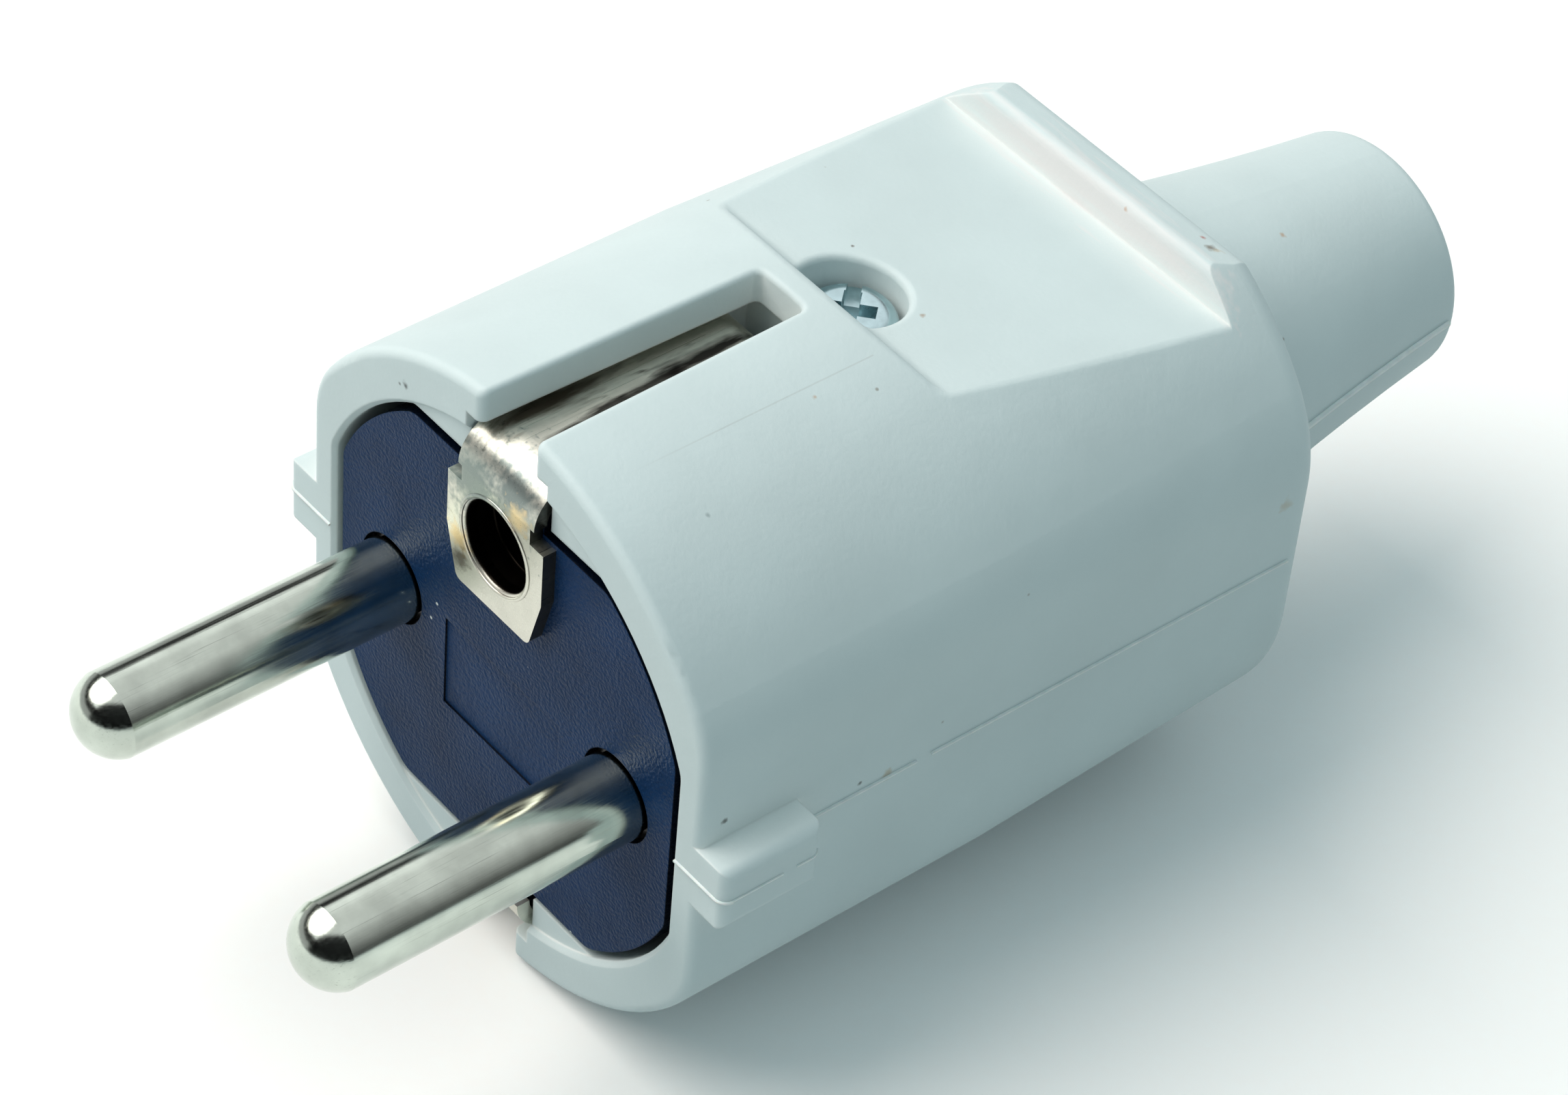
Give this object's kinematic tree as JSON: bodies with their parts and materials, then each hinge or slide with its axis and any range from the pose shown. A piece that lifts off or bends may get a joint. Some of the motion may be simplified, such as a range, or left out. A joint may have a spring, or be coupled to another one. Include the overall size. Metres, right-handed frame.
{
  "type": "mains plug",
  "caption": "Straight rewirable mains plug with round pins, earth contacts, a dark contact insert held by a top screw, a grip panel with rear ridge and a tapered cord boot.",
  "frame": {"origin": "middle of the engagement face, half way between the pins", "axes": "X runs from pin to pin, -Y is the way the pins point, +Y is the way the cord leaves, +Z is the side with the housing screw and the earth hole"},
  "size_m": [0.0368, 0.0804, 0.0368],
  "materials": {
    "housing_plastic": "light grey moulding with a fine matt grain",
    "carrier_plastic": "dark blue-grey moulding, half gloss",
    "nickel_plate": "nickel-plated brass, drawn and polished",
    "zinc_steel": "zinc-plated steel, slightly blue"
  },
  "bodies": {
    "root": {"housing": "housing_plastic", "contact_carrier": "carrier_plastic", "line_pin": "nickel_plate", "neutral_pin": "nickel_plate", "line_terminal_screw": "zinc_steel", "neutral_terminal_screw": "zinc_steel", "earth_strip": "nickel_plate", "earth_pin_socket": "nickel_plate", "earth_terminal_washer": "zinc_steel", "earth_terminal_screw": "zinc_steel", "housing_screw": "zinc_steel", "housing_nut": "zinc_steel", "cord_clamp": "carrier_plastic", "cord_clamp_screw_left": "zinc_steel", "cord_clamp_screw_right": "zinc_steel"}
  },
  "joints": []
}
